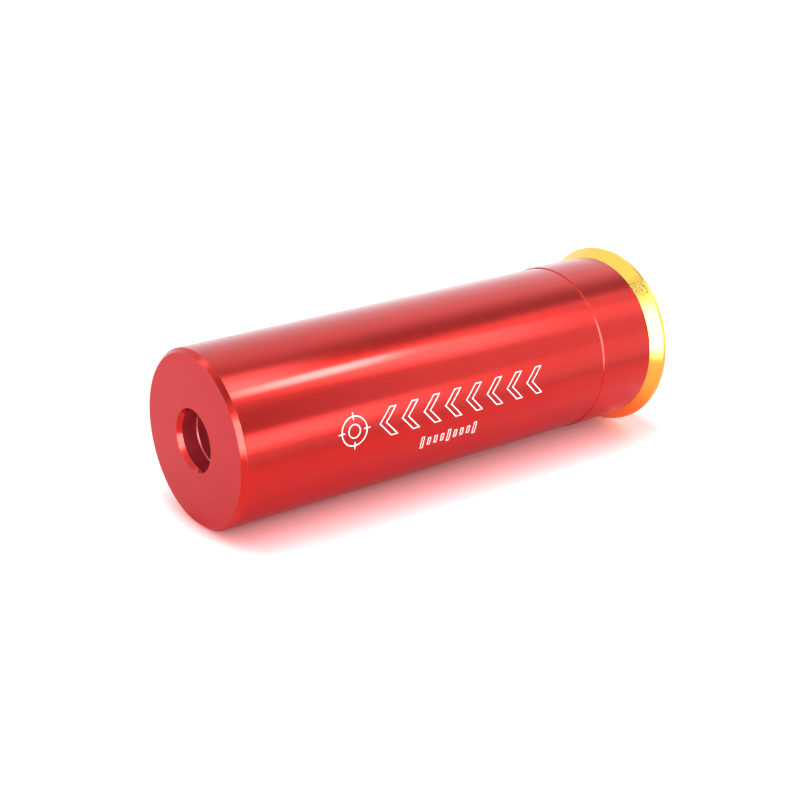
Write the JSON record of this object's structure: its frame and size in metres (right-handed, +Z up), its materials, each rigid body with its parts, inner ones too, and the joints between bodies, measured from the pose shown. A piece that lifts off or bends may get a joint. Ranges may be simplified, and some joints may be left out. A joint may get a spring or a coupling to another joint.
{
  "type": "laser collimator",
  "caption": "Cartridge-shaped laser collimator: slim turned tube with a beam hole in the front face, a shallow rear step and a wider screw-on rim cap.",
  "frame": {"origin": "centre of the cap's flat rear face, on the beam axis", "axes": "lying on its side: beam leaves along -Y, +Y points out of the rear face, +Z up, +X to the right seen from the front face looking along +Y"},
  "size_m": [0.0226, 0.061, 0.0224],
  "materials": {
    "red_anodised": "glossy red anodised, fine turning marks, satin front face",
    "gold_anodised": "bright gold anodised, turned, lightly scuffed edge",
    "barrel_brass": "turned, satin",
    "plain_aluminium": "turned, satin",
    "lens_glass": "polished, clear",
    "spring_steel": "nickel-plated wire",
    "gold_plate": "gold flash over steel, satin",
    "chip_dark": "matte moulded",
    "seal_glass": "fused dark glass",
    "board_green": "green solder mask over glass fibre",
    "capacitor_tan": "fired ceramic",
    "solder": "bright solder",
    "sleeve_plastic": "natural insulating tube",
    "cell_nickel": "nickel-plated pressing",
    "cell_gasket": "moulded nylon",
    "cell_filling": "pressed powder",
    "oring_rubber": "matte nitrile"
  },
  "bodies": {
    "housing": {"body_shell": "red_anodised", "laser_barrel": "barrel_brass", "module_retainer": "plain_aluminium", "diode_header": "gold_plate", "diode_can": "gold_plate", "diode_window": "lens_glass", "diode_heatsink": "gold_plate", "laser_chip": "chip_dark", "monitor_chip": "chip_dark", "lead_seals": "seal_glass", "diode_leads": "gold_plate", "driver_board": "board_green", "driver_transistor": "chip_dark", "board_resistors": "chip_dark", "board_capacitor": "capacitor_tan", "solder_joints": "solder", "contact_spring": "spring_steel", "battery_sleeve": "sleeve_plastic"},
    "cell_stack": {"cell_1_can": "cell_nickel", "cell_1_gasket": "cell_gasket", "cell_1_top": "cell_nickel", "cell_1_filling": "cell_filling", "cell_2_can": "cell_nickel", "cell_2_gasket": "cell_gasket", "cell_2_top": "cell_nickel", "cell_2_filling": "cell_filling", "cell_3_can": "cell_nickel", "cell_3_gasket": "cell_gasket", "cell_3_top": "cell_nickel", "cell_3_filling": "cell_filling"},
    "cap": {"base_cap": "gold_anodised", "cap_contact": "cell_nickel", "cap_oring": "oring_rubber"},
    "focus_slide": {"lens_spring": "spring_steel"},
    "lens_cell": {"lens_holder": "barrel_brass", "collimator_lens": "lens_glass", "lens_retainer": "barrel_brass"}
  },
  "joints": [
    {"name": "cap_travel", "type": "slide", "parent": "housing", "child": "cell_stack", "axis": [0, 1, 0], "range_m": [0, 0.005], "deforming": ["contact_spring"]},
    {"name": "cap_turn", "type": "hinge", "parent": "cell_stack", "child": "cap", "pos_m": [0, 0, 0], "axis": [0, 1, 0], "range_deg": [0, 1800]},
    {"name": "focus_travel", "type": "slide", "parent": "housing", "child": "focus_slide", "axis": [0, -1, 0], "range_m": [-0.0005, 0.0005], "deforming": ["lens_spring"]},
    {"name": "focus_turn", "type": "hinge", "parent": "focus_slide", "child": "lens_cell", "pos_m": [0, -0.043, 0], "axis": [0, -1, 0], "range_deg": [-360, 360]}
  ],
  "couplings": [
    {"joint": "cap_turn", "follows": "cap_travel", "rad_per_m": 6283.2},
    {"joint": "focus_turn", "follows": "focus_travel", "rad_per_m": 12566}
  ]
}
